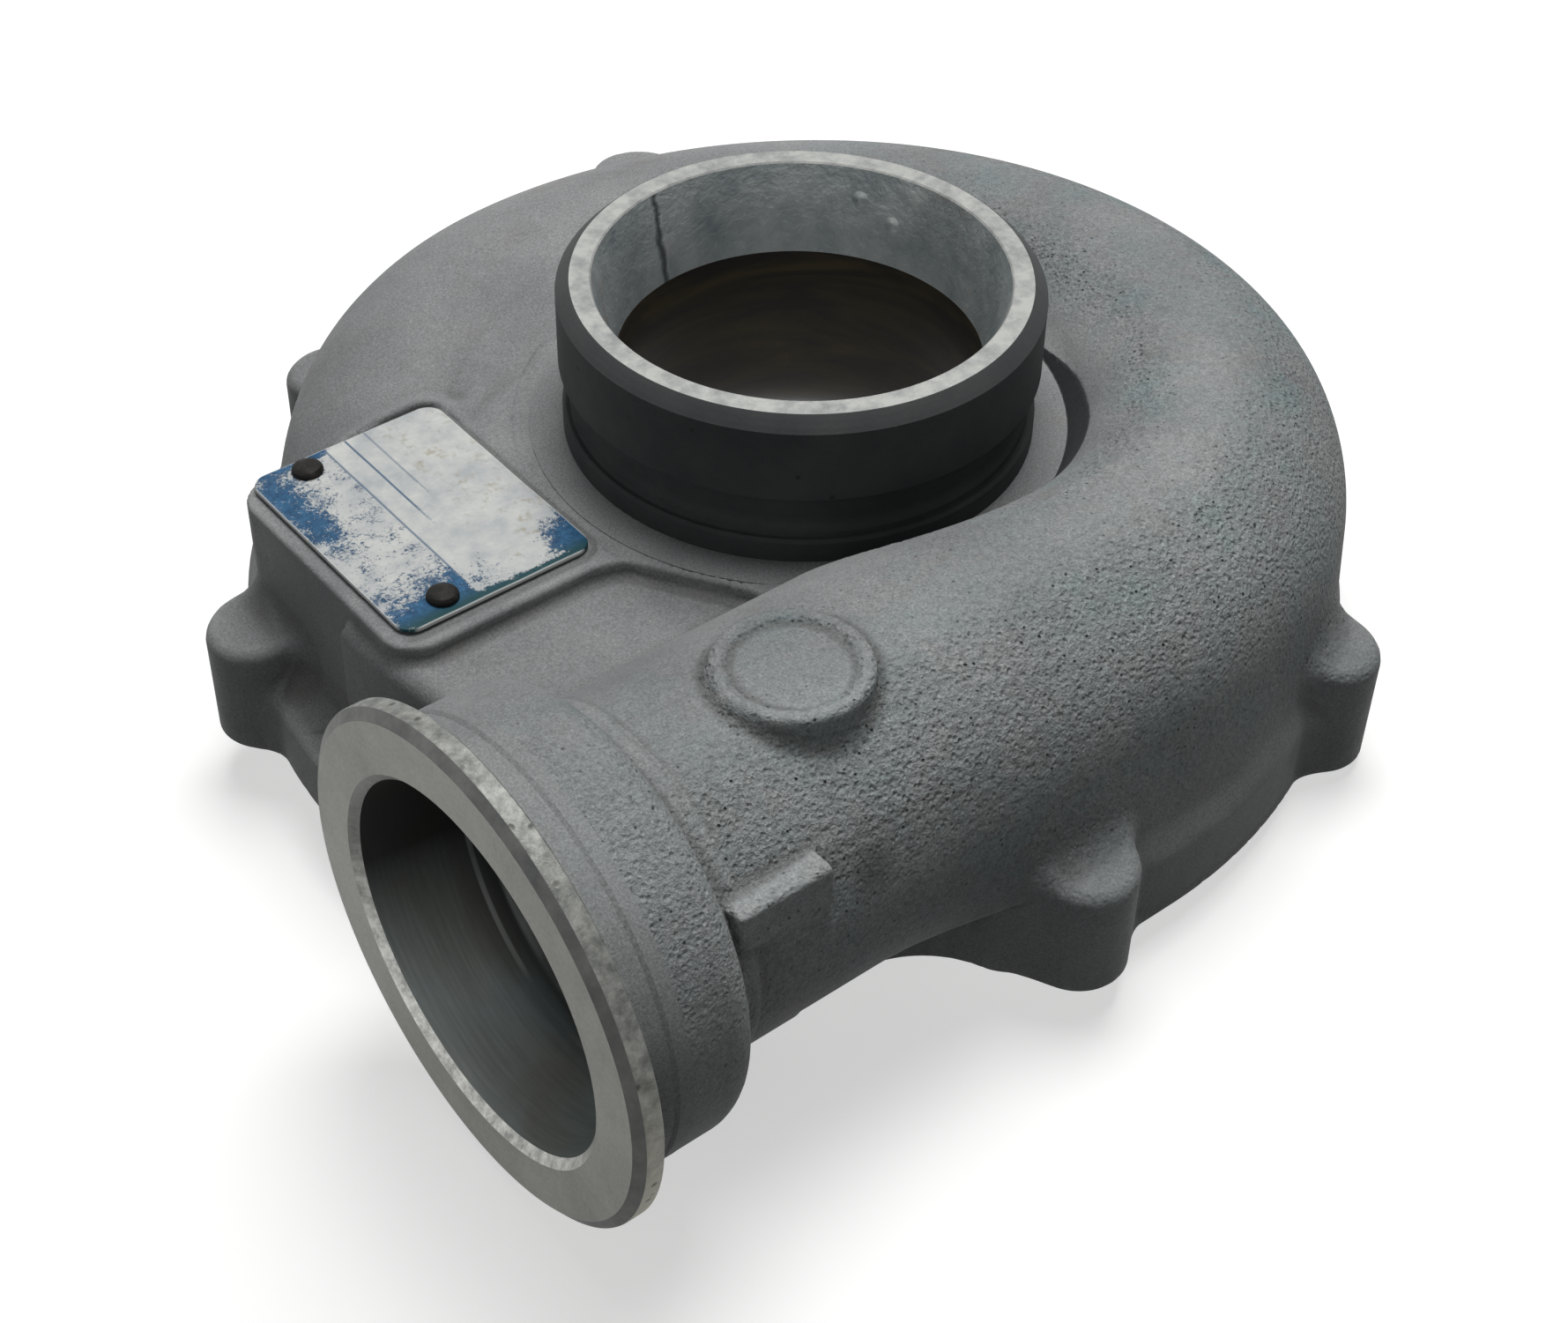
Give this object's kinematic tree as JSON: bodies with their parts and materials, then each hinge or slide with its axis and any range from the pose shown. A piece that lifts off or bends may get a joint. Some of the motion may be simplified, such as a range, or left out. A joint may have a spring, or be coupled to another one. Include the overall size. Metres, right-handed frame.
{
  "type": "turbo compressor housing",
  "caption": "Cast aluminium scroll housing with a round hose inlet on top, a clamped side outlet, a plate pad and bolt bosses round the base.",
  "frame": {"origin": "on the wheel axis, in the face that bolts to the back plate", "axes": "+Z along the wheel axis towards the inlet, -X out of the outlet"},
  "size_m": [0.233, 0.2249, 0.091],
  "materials": {
    "cast_aluminium": "sand cast, matte",
    "plate_metal": "worn printed sheet",
    "rivet_steel": "dark"
  },
  "bodies": {
    "root": {"housing": "cast_aluminium", "name_plate": "plate_metal", "plate_rivets": "rivet_steel"}
  },
  "joints": []
}
